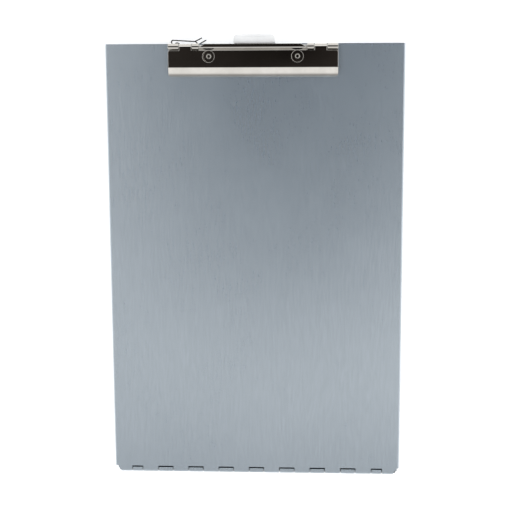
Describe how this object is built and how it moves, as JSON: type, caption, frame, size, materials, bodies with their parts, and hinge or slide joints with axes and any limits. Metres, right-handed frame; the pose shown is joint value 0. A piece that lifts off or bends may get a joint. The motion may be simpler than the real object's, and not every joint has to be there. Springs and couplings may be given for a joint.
{
  "type": "storage clipboard",
  "caption": "Aluminium storage clipboard: a shallow tray under a hinged writing plate with a sprung paper clip, a plastic latch and a spring pen holder.",
  "frame": {"origin": "centre of the tray's flat back face, which lies on the table", "axes": "+Z out of the writing face, +Y from the hinge edge to the clip, +X to the right"},
  "size_m": [0.2372, 0.361, 0.033],
  "materials": {
    "brushed_aluminium": "fine lengthwise brushed grain, satin",
    "bright_nickel": "bright nickel plate",
    "steel_wire": "drawn wire",
    "spring_steel": "bright spring steel",
    "aluminium_rivet": "bare aluminium",
    "plated_rivet": "nickel plate",
    "dark_rivet": "blackened steel",
    "white_plastic": "translucent white, soft gloss"
  },
  "bodies": {
    "tray_body": {"tray": "brushed_aluminium", "tray_corner_rivets": "aluminium_rivet", "lid_hinge_pin": "steel_wire", "latch_foot": "white_plastic", "latch_rivets": "aluminium_rivet", "pen_holder_foot": "spring_steel", "pen_holder_rivet": "dark_rivet"},
    "lid_body": {"lid_plate": "brushed_aluminium", "clip_base_plate": "bright_nickel", "clip_pin": "steel_wire", "clip_rivets": "plated_rivet", "clip_rivet_washers": "plated_rivet"},
    "jaw_body": {"clip_jaw": "bright_nickel", "clip_spring_left": "spring_steel", "clip_spring_right": "spring_steel"},
    "latch_body": {"latch_tab": "white_plastic"},
    "pen_leaf_body": {"pen_holder_leaf": "spring_steel"}
  },
  "joints": [
    {"name": "lid_hinge", "type": "hinge", "parent": "tray_body", "child": "lid_body", "pos_m": [0, -0.17545, 0.02345], "axis": [1, 0, 0], "range_deg": [0, 180]},
    {"name": "clip_pivot", "type": "hinge", "parent": "lid_body", "child": "jaw_body", "pos_m": [-0.001, 0.1746, 0.0276], "axis": [-1, 0, 0], "range_deg": [0, 35], "stiffness_Nm_per_rad": 0.3, "springref_deg": -45.84},
    {"name": "latch_flex", "type": "hinge", "parent": "tray_body", "child": "latch_body", "pos_m": [0, 0.1768, 0.01415], "axis": [-1, 0, 0], "range_deg": [0, 15], "stiffness_Nm_per_rad": 0.02, "springref_deg": -5.73},
    {"name": "pen_holder_flex", "type": "hinge", "parent": "tray_body", "child": "pen_leaf_body", "pos_m": [-0.0644, 0.17825, 0.01875], "axis": [0, 0, 1], "range_deg": [0, 5], "stiffness_Nm_per_rad": 0.05, "springref_deg": -2.86}
  ]
}
